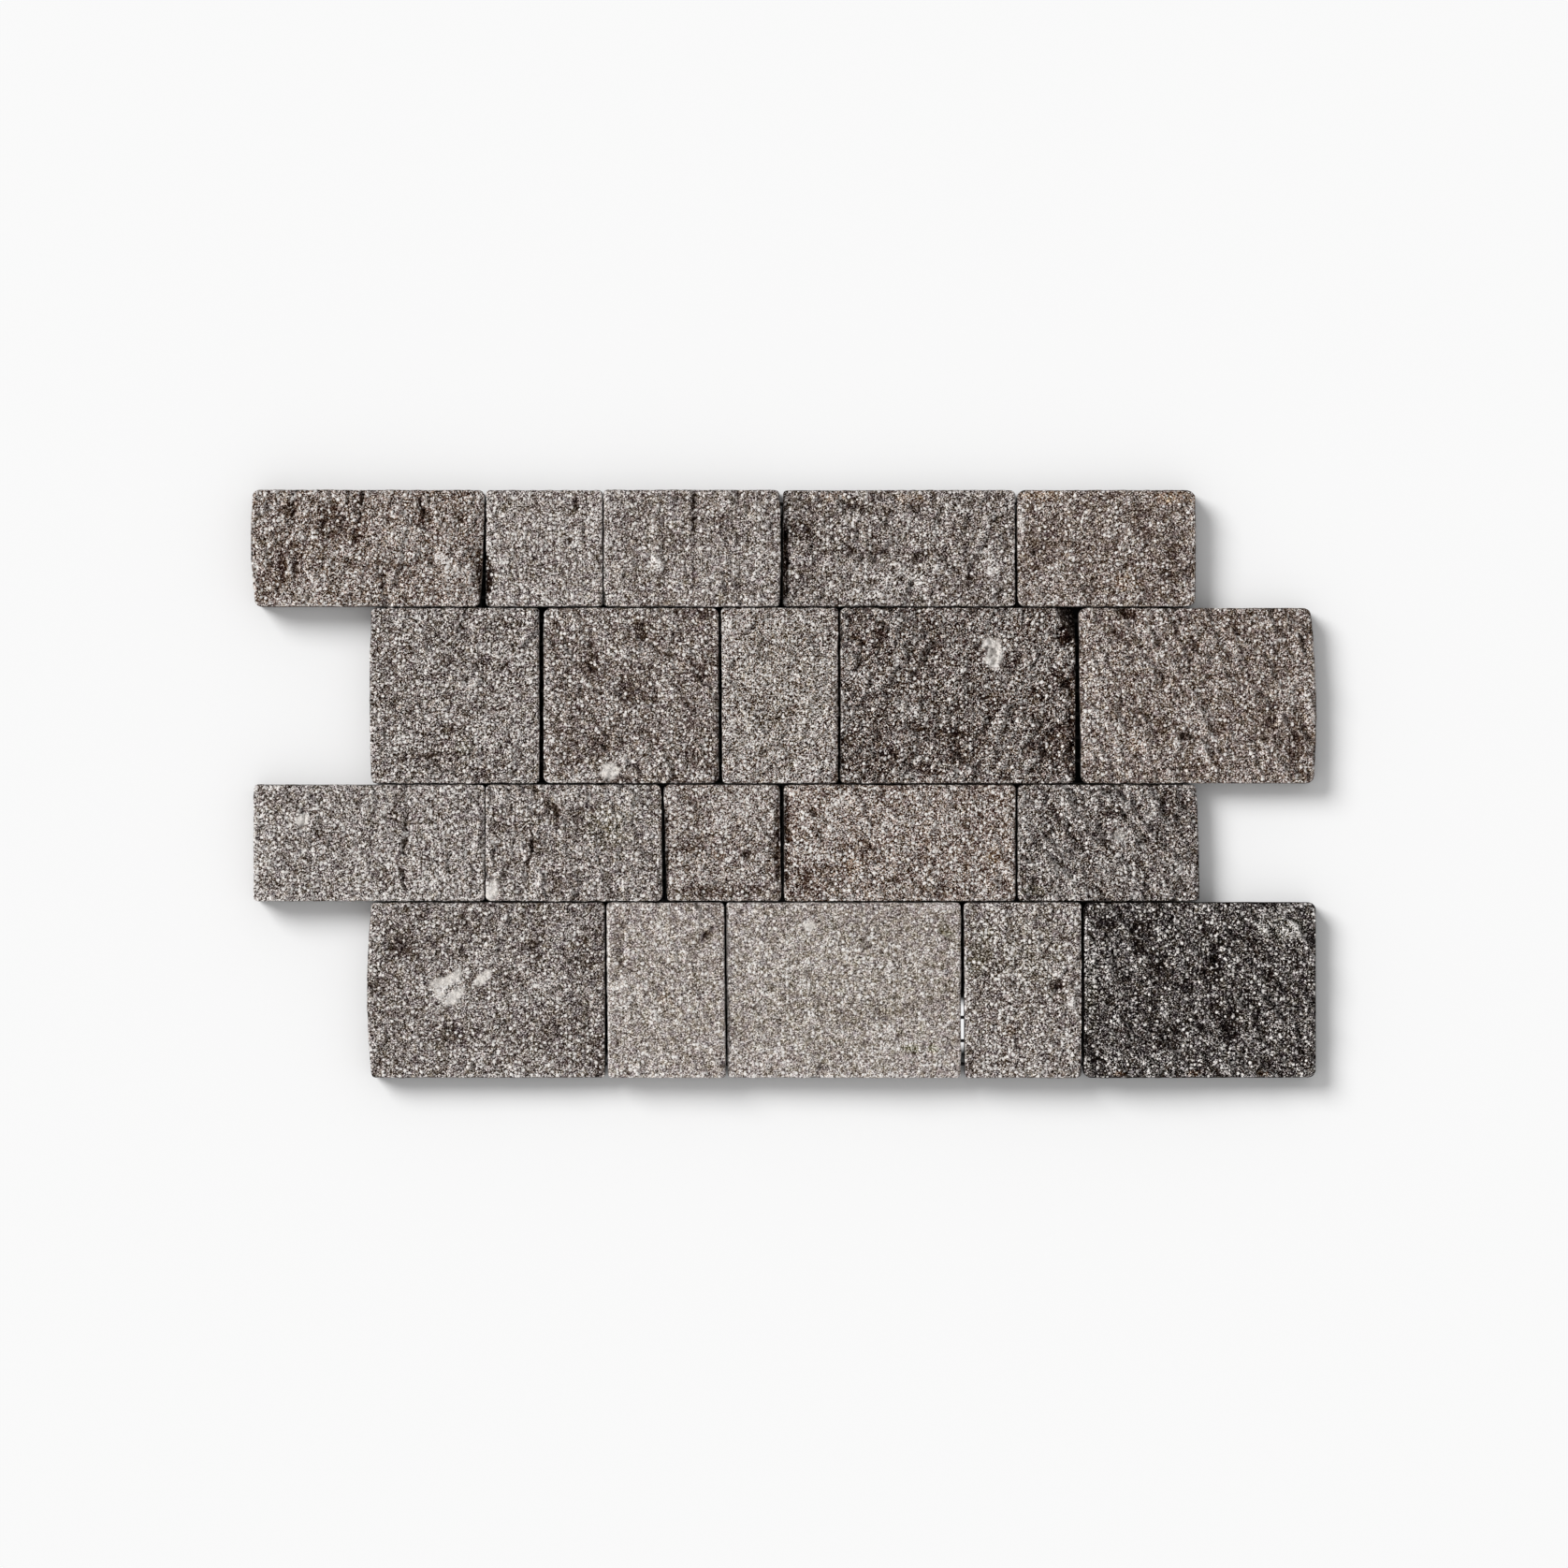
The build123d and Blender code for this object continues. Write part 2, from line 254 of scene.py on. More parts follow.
STONES = [
    Stone(
        "top_course_stone_1",
        tone=0.805, warmth=2.2, contrast=2.15, grains=0.7, rough=0.8, furrow=0.6, cleavage=80,
        marks=[
            cleft(314, 544, 15, 80), cleft(346, 575, 18, 95), cleft(387, 532, 13, 85),
            cleft(380, 566, 18, 75), cleft(450, 542, 20, 100), cleft(409, 619, 15, 85),
            dark(351, 558, 14, 26, 0, 0.8), dark(384, 536, 9, 16), dark(383, 577, 12, 8, 40, 0.8),
            dark(455, 553, 10, 14, 0, 0.8), dark(300, 612, 17, 32, -25, 0.6),
            # the dark mark of strength 3.0 at the end of this line is painted shadow in the joint along the
            # right edge
            dark(356, 621, 9, 8, 0, 0.7), dark(313, 543, 9, 9, 0, 0.7), dark(517, 612, 7, 34, 0, 3.0),
            pale(358, 588, 12, 7, 30), pale(480, 604, 28, 8, -40), pale(470, 596, 9, 8, 0, 0.8),
            pale(330, 628, 20, 10, 30, 0.4),
        ],
    ),
    Stone(
        "top_course_stone_2",
        tone=1.09, warmth=0.2, contrast=1.65, grains=0.8, rough=0.5, furrow=0.3, cleavage=80,
        marks=[
            # the dark mark of strength 3.0 is painted shadow in the joint along the left edge
            cleft(616, 537, 16, 92), dark(521, 618, 7, 27, 0, 3.0), dark(617, 540, 7, 14, 0, 0.5),
            # the thin pale mark along the lower edge, at the end of this line, is a painted highlight
            pale(640, 546, 18, 7, 30, 0.6), pale(605, 641, 34, 5, 5, 0.5),
            dark(580, 600, 30, 10, 30, 0.3),
        ],
    ),
    Stone(
        "top_course_stone_3",
        tone=1.06, warmth=0.3, contrast=1.65, grains=0.5, rough=0.6, furrow=0.4, cleavage=85,
        marks=[
            cleft(742, 550, 24, 90), cleft(742, 618, 22, 88, 0.6), cleft(785, 543, 20, 75, 0.5),
            dark(742, 550, 5, 24, 0, 0.8), dark(770, 556, 14, 16, 0, 0.4),
            dark(722, 590, 16, 22, 0, 0.3), pale(701, 605, 9, 17, 0, 0.7),
            pale(762, 617, 9, 6, 0, 0.8), pale(805, 600, 24, 34, 0, 0.25),
        ],
    ),
    Stone(
        "top_course_stone_4",
        tone=0.717, warmth=0.4, contrast=1.97, grains=0.5, rough=0.8, furrow=0.7, cleavage=60,
        marks=[
            rust(893, 531, 16, 6, 0, 0.7), rust(970, 533, 18, 6, 0, 0.7),
            # the dark mark of strength 3.0 is painted shadow, cast by the third stone, along the left edge
            dark(838, 604, 6, 44, 0, 3.0), dark(856, 568, 15, 14, 0, 0.7),
            dark(935, 590, 56, 5, -3, 0.7), dark(988, 595, 20, 7, 12, 0.9),
            dark(1071, 566, 12, 36, 0, 0.7), dark(950, 543, 64, 9, 0, 0.5),
            dark(1040, 620, 16, 8, 20, 0.5), pale(968, 581, 12, 6, 40, 0.8),
            pale(974, 618, 22, 6, -40, 0.9), pale(1060, 606, 15, 11, 0, 0.9),
            pale(930, 632, 46, 9, 0, 0.4), pale(900, 556, 14, 8, 0, 0.4),
            pale(905, 608, 20, 8, -20, 0.4),
        ],
    ),
    Stone(
        "top_course_stone_5",
        tone=0.66, warmth=1.3, contrast=1.77, grains=0.5, rough=0.7, furrow=0.4, cleavage=30,
        marks=[
            rust(1110, 529, 22, 7, 0, 0.7), rust(1255, 531, 22, 9, 0, 0.8),
            # the two thin pale marks along the left and lower edges are painted highlights
            pale(1093, 560, 4, 46, 0, 0.7), pale(1175, 641, 62, 4, 0, 0.7),
            pale(1137, 601, 13, 18, 0, 0.5), pale(1204, 588, 9, 26, -35, 0.4),
            dark(1112, 572, 14, 14, 0, 0.5), dark(1218, 556, 10, 22, 0, 0.4),
            rust(1205, 622, 18, 10, 0, 0.5), pale(1188, 569, 6, 5, 0, 0.6),
            dark(1255, 600, 14, 26, 0, 0.3),
        ],
    ),
    Stone(
        "upper_course_stone_1",
        tone=0.69, warmth=0.3, contrast=2.08, grains=0.7, rough=0.7, furrow=0.5, cleavage=40,
        marks=[
            cleft(472, 807, 41, 4, 0.6), olive(494, 799, 11, 9, 0, 0.9),
            dark(484, 781, 18, 10, 0, 0.7), dark(494, 797, 9, 8, 0, 0.7),
            pale(516, 792, 8, 15, 20, 1.1), pale(523, 798, 8, 7, 0, 0.8),
            pale(503, 729, 10, 9, 0, 0.9), dark(470, 808, 62, 6, 3, 0.5),
            dark(408, 740, 10, 20, 0, 0.6), dark(411, 692, 12, 10, 0, 0.5),
            dark(522, 706, 34, 9, -20, 0.5), dark(475, 704, 12, 8, 0, 0.5),
            pale(552, 765, 18, 30, 0, 0.3), dark(510, 826, 30, 8, 0, 0.4),
        ],
    ),
    Stone(
        "upper_course_stone_2",
        tone=0.64, warmth=0.8, contrast=1.89, grains=0.8, rough=0.7, furrow=0.5, cleavage=120,
        marks=[
            pit(660, 834, 14, 5), white(652, 825, 13, 10, 20), pale(669, 812, 10, 7, 0, 1.0),
            dark(655, 660, 14, 10, 0, 0.7), dark(684, 675, 16, 11, -20, 0.7),
            dark(672, 738, 15, 13, 0, 0.8), dark(642, 799, 12, 12, 0, 0.7),
            dark(697, 787, 18, 8, -40, 0.7), dark(633, 705, 8, 28, 0, 0.5),
            dark(748, 726, 8, 14, 0, 0.7), dark(758, 656, 16, 7, 0, 0.9),
            dark(745, 812, 22, 12, -40, 0.5), pale(597, 765, 10, 14, 0, 0.5),
            # the thin pale marks along the left edge and, below, along the lower edge are painted highlights
            pale(587, 745, 4, 86, 0, 0.5), pale(690, 702, 20, 5, 10, 0.4),
            pale(620, 830, 26, 4, 0, 0.6),
        ],
    ),
    Stone(
        "upper_course_stone_3",
        tone=1.0, warmth=1.4, contrast=2.3, grains=0.4, rough=0.7, furrow=1.0, cleavage=35,
        marks=[
            cleft(840, 764, 28, 35, 0.5), cleft(804, 768, 26, 40, 0.5), cleft(823, 800, 31, 38, 0.5),
            cleft(819, 823, 26, 30, 0.4), dark(806, 753, 12, 8, 35, 0.8),
            dark(838, 765, 18, 5, 35, 0.8), dark(823, 807, 20, 5, 33, 0.6),
            # the thin pale marks along the left edge, at 777 and 782, are painted highlights
            pale(813, 791, 28, 6, 33, 0.7), pale(782, 777, 5, 17, 0, 0.8),
            pale(777, 680, 4, 30, 0, 0.7), pale(878, 673, 10, 8, 0, 0.8), pit(894, 831, 8, 7),
            pale(875, 770, 16, 40, 0, 0.25), dark(783, 705, 8, 18, 20, 0.4),
            olive(835, 742, 62, 95, 0, 0.3),
        ],
    ),
    Stone(
        "upper_course_stone_4",
        tone=0.278, warmth=1.5, contrast=2.95, grains=0.5, rough=1.0, furrow=0.7, cleavage=60,
        marks=[
            # the dark mark at the broken upper right corner is painted shade, and the long one of 1.6 along
            # the right edge is painted shadow in the joint
            white(1062, 699, 10, 18), white(1057, 688, 8, 9), dark(1140, 668, 14, 26, 0, 2.5),
            dark(1147, 750, 6, 100, 0, 1.6), dark(1068, 750, 48, 8, 62, 1.0),
            dark(1003, 780, 32, 11, -5, 1.0), dark(1122, 732, 26, 14, 40, 0.9),
            dark(950, 803, 15, 10, 0, 0.9), dark(985, 820, 24, 7, -15, 0.9),
            dark(1022, 755, 11, 9, 0, 0.9), dark(978, 712, 9, 30, 15, 0.4),
            dark(1118, 800, 30, 34, 0, 0.6), dark(930, 686, 18, 14, 0, 0.4),
            pale(963, 746, 13, 12, 0, 1.0), pale(1045, 752, 10, 9, 0, 0.9),
            pale(969, 829, 11, 6, 0, 0.9), pale(1050, 660, 60, 9, 0, 0.4),
            pale(1080, 726, 5, 15, 25, 0.6), pale(1095, 812, 7, 6, 0, 0.8),
        ],
    ),
    Stone(
        "upper_course_stone_5",
        tone=0.683, warmth=1.5, contrast=1.84, grains=0.4, rough=0.8, furrow=1.5, cleavage=-65,
        marks=[
            cleft(1220, 690, 33, -65, 0.4), cleft(1262, 684, 31, -62, 0.4),
            cleft(1310, 696, 33, -66, 0.4), pit(1267, 787, 8, 5), dark(1207, 656, 17, 7, 0, 1.1),
            dark(1198, 683, 16, 9, -50, 0.7), dark(1277, 690, 14, 5, -50, 0.8),
            dark(1318, 668, 18, 8, -40, 0.7), dark(1388, 790, 10, 40, -8, 0.7),
            dark(1395, 826, 10, 8, 0, 0.9), dark(1258, 818, 18, 7, 0, 0.7),
            dark(1352, 765, 9, 14, 20, 0.5), pale(1293, 800, 24, 14, 10, 0.8),
            pale(1290, 765, 22, 12, 20, 0.4), rust(1215, 795, 12, 12, 0, 0.4),
            # the pale mark along the left edge, at the end of this line, is a painted highlight
            pale(1384, 731, 8, 12, 0, 0.6), pale(1170, 745, 14, 84, 0, 0.3),
            pale(1226, 690, 8, 7, 0, 0.5), pale(1262, 676, 8, 9, 0, 0.5),
        ],
    ),
    Stone(
        "lower_course_stone_1",
        tone=1.13, warmth=0.0, contrast=1.71, grains=0.9, rough=0.6, furrow=0.4, cleavage=90,
        marks=[
            cleft(434, 890, 33, 85), cleft(430, 936, 28, 97), white(324, 876, 8, 7),
            dark(342, 886, 8, 9, 0, 0.6), dark(408, 940, 18, 14, 0, 0.6),
            dark(426, 864, 8, 20, 0, 0.6), dark(425, 905, 10, 20, 20, 0.5),
            pale(388, 915, 20, 13, 0, 0.45), pale(465, 935, 22, 18, 0, 0.2),
            dark(345, 920, 12, 10, 0, 0.3),
        ],
    ),
    Stone(
        "lower_course_stone_2",
        tone=1.01, warmth=0.2, contrast=1.77, grains=0.7, rough=0.8, furrow=0.6, cleavage=100,
        marks=[
            cleft(594, 870, 20, 100), cleft(567, 908, 23, 80), white(523, 954, 10, 15, -15),
            dark(591, 868, 9, 20, 20, 0.5), dark(574, 903, 12, 18, 30, 0.5),
            dark(533, 892, 13, 20, 0, 0.5), dark(562, 880, 20, 10, 30, 0.4),
            pale(693, 890, 8, 8, 0, 0.6), olive(650, 885, 32, 24, 0, 0.5),
            dark(596, 945, 12, 12, 0, 0.4), pale(555, 935, 12, 10, 0, 0.4),
        ],
    ),
    Stone(
        "lower_course_stone_3",
        tone=0.91, warmth=1.1, contrast=1.81, grains=0.8, rough=0.7, furrow=0.4, cleavage=20,
        marks=[
            rust(767, 914, 9, 6, 0, 0.5), pit(798, 912, 7, 5), dark(798, 912, 7, 6, 0, 1.0),
            dark(770, 953, 58, 8, 0, 0.6), dark(742, 905, 17, 15, 0, 0.7),
            # the two dark marks of 1.6 along the left and right edges are painted shadow in the joints
            pale(778, 870, 36, 15, 0, 0.35), dark(712, 900, 4, 58, 0, 1.6),
            dark(832, 900, 4, 60, 0, 1.6), pale(740, 862, 8, 9, 0, 0.4),
        ],
    ),
    Stone(
        "lower_course_stone_4",
        tone=0.77, warmth=2.3, contrast=2.1, grains=0.7, rough=0.7, furrow=0.5, cleavage=140,
        marks=[
            # the dark mark of 1.8 along the left edge is painted shadow in the joint
            dark(841, 900, 4, 60, 0, 1.8), pale(918, 866, 48, 19, -8, 0.6),
            pale(895, 862, 15, 10, 30, 0.8), pale(887, 884, 15, 9, 30, 0.9),
            pale(946, 887, 10, 7, 0, 0.7), dark(875, 936, 42, 17, 0, 0.7),
            dark(915, 905, 18, 8, 0, 0.5), dark(1040, 888, 24, 16, 0, 0.4),
            dark(1020, 950, 30, 9, 0, 0.4), rust(912, 925, 10, 8, 0, 0.5),
            rust(1066, 915, 12, 11, 0, 0.5), pale(1068, 905, 8, 9, 0, 0.4),
            pale(985, 905, 30, 14, 0, 0.2),
        ],
    ),
    Stone(
        "lower_course_stone_5",
        tone=0.435, warmth=0.4, contrast=2.55, grains=0.6, rough=1.0, furrow=1.6, cleavage=-50,
        marks=[
            cleft(1130, 890, 31, -50, 0.4), cleft(1180, 900, 39, -48, 0.4),
            cleft(1225, 880, 31, -52, 0.4), dark(1190, 868, 15, 9, 0, 1.1),
            dark(1138, 880, 28, 6, -48, 0.9), dark(1250, 858, 20, 8, -60, 0.7),
            dark(1160, 912, 20, 6, -50, 0.7), dark(1106, 912, 7, 14, 0, 0.5),
            dark(1228, 905, 20, 6, -50, 0.6), white(1196, 893, 8, 8, 0, 0.35),
            pale(1269, 934, 12, 12, 0, 0.9), pale(1268, 843, 10, 5, 0, 0.9),
            pale(1150, 948, 32, 12, 20, 0.35), olive(1105, 952, 20, 7, 0, 0.6),
            # the thin pale mark along the left edge is a painted highlight
            pale(1096, 880, 5, 36, 0, 0.4),
        ],
    ),
    Stone(
        "bottom_course_stone_1",
        tone=0.727, warmth=0.0, contrast=1.79, grains=0.7, rough=0.7, furrow=0.5, cleavage=30,
        marks=[
            white(472, 1050, 19, 6, 12), white(486, 1064, 19, 6.5, 42),
            white(470, 1063, 11, 5, -60, 0.7), white(516, 1045, 13, 5, 38), white(489, 1044, 7, 6, 60),
            pale(500, 1031, 16, 7, 20, 0.9), pale(478, 1058, 26, 12, 30, 0.6),
            pale(530, 1021, 26, 12, 0, 0.5), pale(579, 1052, 20, 7, 30, 0.8),
            dark(500, 985, 30, 14, 0, 0.6), dark(432, 1015, 22, 15, 0, 0.6),
            dark(482, 1107, 17, 18, 0, 0.7), dark(575, 1000, 11, 40, 0, 0.5),
            dark(626, 1010, 13, 32, 0, 0.5), dark(590, 1108, 20, 30, 0, 0.5),
            pale(469, 1095, 4, 28, 0, 0.5), pale(512, 1131, 8, 7, 0, 0.6),
            dark(638, 1130, 9, 18, 0, 0.6),
        ],
    ),
    Stone(
        "bottom_course_stone_2",
        tone=1.94, warmth=0.1, contrast=1.02, grains=0.5, rough=0.5, furrow=0.4, cleavage=110,
        marks=[
            # the thin white mark along the left edge is a painted highlight
            cleft(756, 998, 20, 55), white(648.5, 1060, 2.2, 95, 0, 0.5),
            dark(756, 999, 20, 8, 55, 0.3), dark(663, 1000, 6, 32, 0, 0.5),
            olive(710, 1060, 70, 96, 0, 0.15), rust(712, 1066, 10, 9, 0, 0.3),
            pale(697, 1083, 7, 6, 0, 0.5), pale(690, 995, 20, 12, 0, 0.2),
        ],
    ),
    Stone(
        "bottom_course_stone_3",
        tone=1.83, warmth=0.0, contrast=1.0, grains=0.5, rough=0.4, furrow=0.3, cleavage=20,
        marks=[
            olive(900, 1058, 140, 100, 0, 0.25), olive(1010, 994, 8, 9), olive(975, 1120, 8, 6),
            olive(997, 1120, 7, 5), dark(1010, 994, 7, 9, 0, 0.5), white(864, 990, 8, 7, 0, 0.9),
            pale(1006, 970, 14, 6, 0, 0.4), dark(975, 1120, 8, 7, 0, 0.4),
            # the thin white mark along the left edge is a painted highlight
            dark(915, 1080, 26, 12, 40, 0.2), white(776.5, 1060, 2, 90, 0, 0.4),
        ],
    ),
    Stone(
        "bottom_course_stone_4",
        tone=0.817, warmth=0.1, contrast=1.79, grains=0.9, rough=0.6, furrow=0.3, cleavage=70,
        marks=[
            pit(1130, 1053, 13, 6, 8), dark(1130, 1054, 12, 5, 8, 0.5),
            # the thin white mark along the left edge is a painted highlight
            white(1031, 1052, 3, 18, 0, 0.35), pale(1145, 1075, 9, 9, 0, 1.3),
            olive(1048, 1020, 18, 28, 0, 0.5), dark(1046, 1020, 12, 22, 0, 0.4),
            rust(1080, 1103, 9, 9, 0, 0.6), pale(1105, 985, 22, 8, 0, 0.4),
            pale(1142, 1106, 9, 11, 0, 0.6), olive(1100, 1020, 40, 50, 0, 0.3),
        ],
    ),
    Stone(
        "bottom_course_stone_5",
        tone=0.074, warmth=-0.9, contrast=3.45, grains=0.7, rough=1.0, furrow=1.3, cleavage=-45,
        marks=[
            cleft(1230, 1020, 36, -48, 0.5), cleft(1290, 1060, 39, -45, 0.5),
            cleft(1340, 1000, 31, -50, 0.5), pale(1372, 990, 38, 20, -15, 1.6),
            # the pale mark of 1.5 along the left edge is a painted highlight
            olive(1370, 993, 30, 14, 0, 0.5), pale(1166, 1030, 9, 56, 0, 1.5),
            pale(1187, 1034, 14, 7, -40, 0.9), pale(1252, 1078, 9, 8, 0, 0.9),
            pale(1187, 1115, 18, 20, 0, 0.5), dark(1215, 1000, 14, 22, 20, 0.9),
            dark(1238, 1042, 17, 14, 0, 0.9), dark(1297, 1020, 13, 46, 0, 1.0),
            dark(1316, 1100, 12, 26, 0, 0.7), dark(1252, 1108, 24, 16, 0, 0.5),
            dark(1181, 985, 14, 10, 0, 0.8), rust(1194, 1147, 8, 4), rust(1277, 1147, 9, 4),
            rust(1350, 1148, 8, 4), olive(1166, 1060, 8, 46, 0, 0.5),
        ],
    ),
]
print("stones:", len(STONES), "marks:", sum(len(stone.marks) for stone in STONES))

# %% [markdown]
# ## A fine skin for each stone
# The CAD stone is a few large planes, and there is nothing on them to push in or out. A copy of it is merged,
# because the CAD mesh is loose triangles, and a voxel Remesh gives it an even skin of small squares.
# Subdividing would follow the long CAD triangles and give slivers. The hidden back stays flat, so its squares
# are dissolved again.

# %% Skin
SKIN = 0.66 * MM
WELD = 0.001 * MM  # points closer than this are one


def only(piece):
    """Selects one piece and nothing else."""
    bpy.ops.object.select_all(action="DESELECT")
    piece.select_set(True)
    bpy.context.view_layer.objects.active = piece


def copy_of(node):
    """A loose copy of a CAD stone, with its points merged."""
    only(frame["nodes"][node])
    bpy.ops.object.duplicate()
    piece = bpy.context.active_object
    piece.name = node + "_split"
    piece.data.name = piece.name
    for key in [key for key in piece.keys() if key.startswith("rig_")]:
        del piece[key]
    bpy.ops.object.parent_clear(type="CLEAR_KEEP_TRANSFORM")
    bpy.ops.object.mode_set(mode="EDIT")
    bpy.ops.mesh.select_all(action="SELECT")
    bpy.ops.mesh.remove_doubles(threshold=WELD)
    bpy.ops.object.mode_set(mode="OBJECT")
    return piece


def fine_skin(node):
    """A copy of a CAD stone with a fine, even skin."""
    piece = copy_of(node)
    bpy.ops.object.modifier_add(type="REMESH")
    piece.modifiers[-1].mode = "VOXEL"
    piece.modifiers[-1].voxel_size = SKIN
    bpy.ops.object.modifier_apply(modifier=piece.modifiers[-1].name)
    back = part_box(node)[0].z
    for face in piece.data.polygons:
        face.select = face.normal.z < -0.9 and face.center.z < back + SKIN
    bpy.ops.object.mode_set(mode="EDIT")
    bpy.ops.mesh.select_mode(type="FACE")
    bpy.ops.mesh.dissolve_faces()
    bpy.ops.object.mode_set(mode="OBJECT")
    bpy.ops.object.shade_smooth()
    return piece


# %% [markdown]
# ## The split face: crags
# A stone that is split and not sawn breaks along small planes with steps between them. Voronoi cells of
# three sizes, each with a random height and tilt, give those planes. Noise bends their edges, and they are
# drawn out along the direction in which the stone cleaves. Lumps, furrows and rounded grains are added.
# Sculpting could give the same for one stone, but this gives it for twenty, and the same at each run. All
# heights are in millimetres.


# %% Crags
def planes(place, size, height, tilt):
    """Small planes of random height and tilt, like those of a broken face."""
    middle = cells(place, size, "Position")
    chance = cells(place, size, "Color").vector("SUBTRACT", HALF)
    lean = place.vector("SUBTRACT", middle).dot(chance)
    return chance.axis("Z") * height + lean * tilt


def crags(there, stone):
    """How far the split face stands above or below the planes of the CAD."""
    bend = noise(there, 9, 2, out="Color").vector("SUBTRACT", HALF).vector("MULTIPLY", (6, 6, 6))
    bent = there.vector("ADD", bend)
    turn = {"Vector": bent, "Angle": -radians(stone.cleavage)}
    turned = bent.add("ShaderNodeVectorRotate", {"rotation_type": "Z_AXIS"}, turn)
    drawn = turned.vector("MULTIPLY", (0.5, 1, 1))
    steep = stone.rough ** 3
    height = planes(drawn, 12, 0.6 * stone.rough, 0.12 * stone.rough)
    height = height + planes(drawn, 7, 1.6 * steep, 0.4 * steep)
    height = height + planes(drawn, 4.5, 0.4 * stone.rough, 0.7 * stone.rough)
    lumps = noise(there, 4.5, 4, 0.7) - 0.5
    furrows = noise(turned.vector("MULTIPLY", (0.2, 1, 1)), 2.7, 2) - 0.5
    grains = 0.5 - cells(there, 1.9)
    height = height + lumps * (1.4 + 2.2 * stone.rough)
    return height + furrows * stone.furrow * 1.8 + grains * 0.4


# %% [markdown]
# ## The split face: clefts, pits, stains and painted shade
# A mark is an ellipse. Noise added to the distance from its middle makes its edge ragged. A cleft is a long,
# thin one whose place is shaken by noise first, so that it runs crooked and breaks off. Dark marks lie a
# little lower and darken the dips most, as painted shade, and pale ones lighten the humps, as painted light.


# %% Clefts and pits
def spot(x, y, wobble, one):
    """1 in the middle of a mark, and 0 outside it."""
    turn = radians(one.turn)
    along = ((x - one.x) * cos(turn) + (y - one.y) * sin(turn)) / one.long
    across = ((y - one.y) * cos(turn) - (x - one.x) * sin(turn)) / one.wide
    return ((along * along + across * across).math("SQRT") + wobble).step(1.05, 0.6)


def clefts(place, there, stone):
    """1 in the clefts of a stone, which are crooked and broken."""
    flat = there.vector("MULTIPLY", (1, 1, 0))
    stray = noise(flat, 5, 4, 0.7, "Color").vector("SUBTRACT", HALF).vector("MULTIPLY", (6, 6, 0))
    crooked = place.vector("ADD", stray)
    x, y = crooked.axis("X"), crooked.axis("Y")
    nothing = flat.axis("Z")
    lines = nothing
    for one in stone.marks:
        if one.kind == "cleft":
            lines = lines.math("MAXIMUM", spot(x, y, nothing, one) * one.strength)
    return lines * noise(flat, 4, 2).step(0.3, 0.55)


def hollows(x, y, there, wobble, stone):
    """1 in the pits: stray ones in some of the cells, and those among the marks."""
    stray = cells(there, 6.5, "Color").axis("X").step(0.72, 0.76)
    hollow = stray * (cells(there, 6.5) + wobble * 0.2).step(0.26, 0.1) * 0.7
    for one in stone.marks:
        if one.kind == "pit":
            hollow = hollow.math("MAXIMUM", spot(x, y, wobble * 0.6, one) * one.strength)
    return hollow


# %% Stains
SUNK = 0.7  # how deep a dark mark lies


def stains(x, y, waves, ragged, stone):
    """How deep the marks lie, their shade, partly painted, their colour, and the white flecks and painted
    highlights.
    """
    humps = (1 + waves * 0.6).math("MAXIMUM", 0.25)
    dips = (1 - waves * 0.6).math("MAXIMUM", 0.25)
    depth = shade = redder = yellower = fleck = waves * 0
    for one in stone.marks:
        here = spot(x, y, ragged, one) * one.strength
        if one.kind == "dark":
            shade = shade - here * dips * DARKER
            depth = depth + here.math("MINIMUM", 1.5) * SUNK
        elif one.kind == "pale":
            shade = shade + here * humps * PALER
        elif one.kind == "white":
            fleck = fleck.math("MAXIMUM", here)
        elif one.kind in STAINS:
            redder = redder + here * STAINS[one.kind][0]
            yellower = yellower + here * STAINS[one.kind][1]
    return depth, {"shade": shade, "redder": redder, "yellower": yellower, "fleck": fleck}


# %% [markdown]
# ## The split face: the arris
# The arris is the edge around the split face. It is chipped here and there, and rubbed bright by handling. In
# the photograph the left and lower edges are the brightest, and the upper ones the least, so on top of the
# wear the left and lower edges get painted light and the upper ones painted shade.


# %% Arris
def arris(x, y, there, wobble, box):
    """1 where the arris is chipped, and how far it is rubbed bright, with painted light on the left and lower
    edges and painted shade on the upper ones.
    """
    low, high = box
    left, right = x - low.x * 1000, high.x * 1000 - x
    lower, upper = y - low.y * 1000, high.y * 1000 - y
    rim = left.math("MINIMUM", right).math("MINIMUM", lower.math("MINIMUM", upper))
    chip = (rim + (noise(there, 8, 3, 0.6) - 0.4) * 10).step(1.2, -1.0)
    wear_and_painted_light = (rim + wobble * 2).step(2.4, 0.4)
    # painted light on the lower and left edges, and painted shade on the upper ones
    wear_and_painted_light = wear_and_painted_light * (1 + lower.step(3, 1) * 0.5 - upper.step(3, 1) * 0.2)
    return chip, wear_and_painted_light + left.step(3, 0.5) * 0.8


# %% [markdown]
# ## Pushing the face in and out
# Geometry Nodes works these sums out at every point of the skin, and the modifier is then applied. The split
# face moves up and down. The sawn sides stay nearly plain, and crumble only near the arris. A value that is
# needed more than once is stored on the points, because a node tree would work it out anew at each use. What
# the material has to know stays stored: where the face is, its shade, its stains and its flecks, and the wear
# and painted light and shade of its humps, dips, pits, clefts and edges.

# %% Relief
CHIP, PIT, CLEFT = 1.2, 1.1, 1.2  # depths in millimetres
LOWER = 0.2  # the face lies this much lower, because its humps rise above it
PROUD = 0.25  # how far a hump may stand above the CAD's highest point


def flanks(z, there, top):
    """How far the sawn sides stand out: slow waves, and crumbs near the top."""
    crumbled = z.step(top - 7, top - 2) * 1.1
    return (noise(there, 14, 2) - 0.45) * 0.4 + (noise(there, 4, 3, 0.6) - 0.52) * crumbled


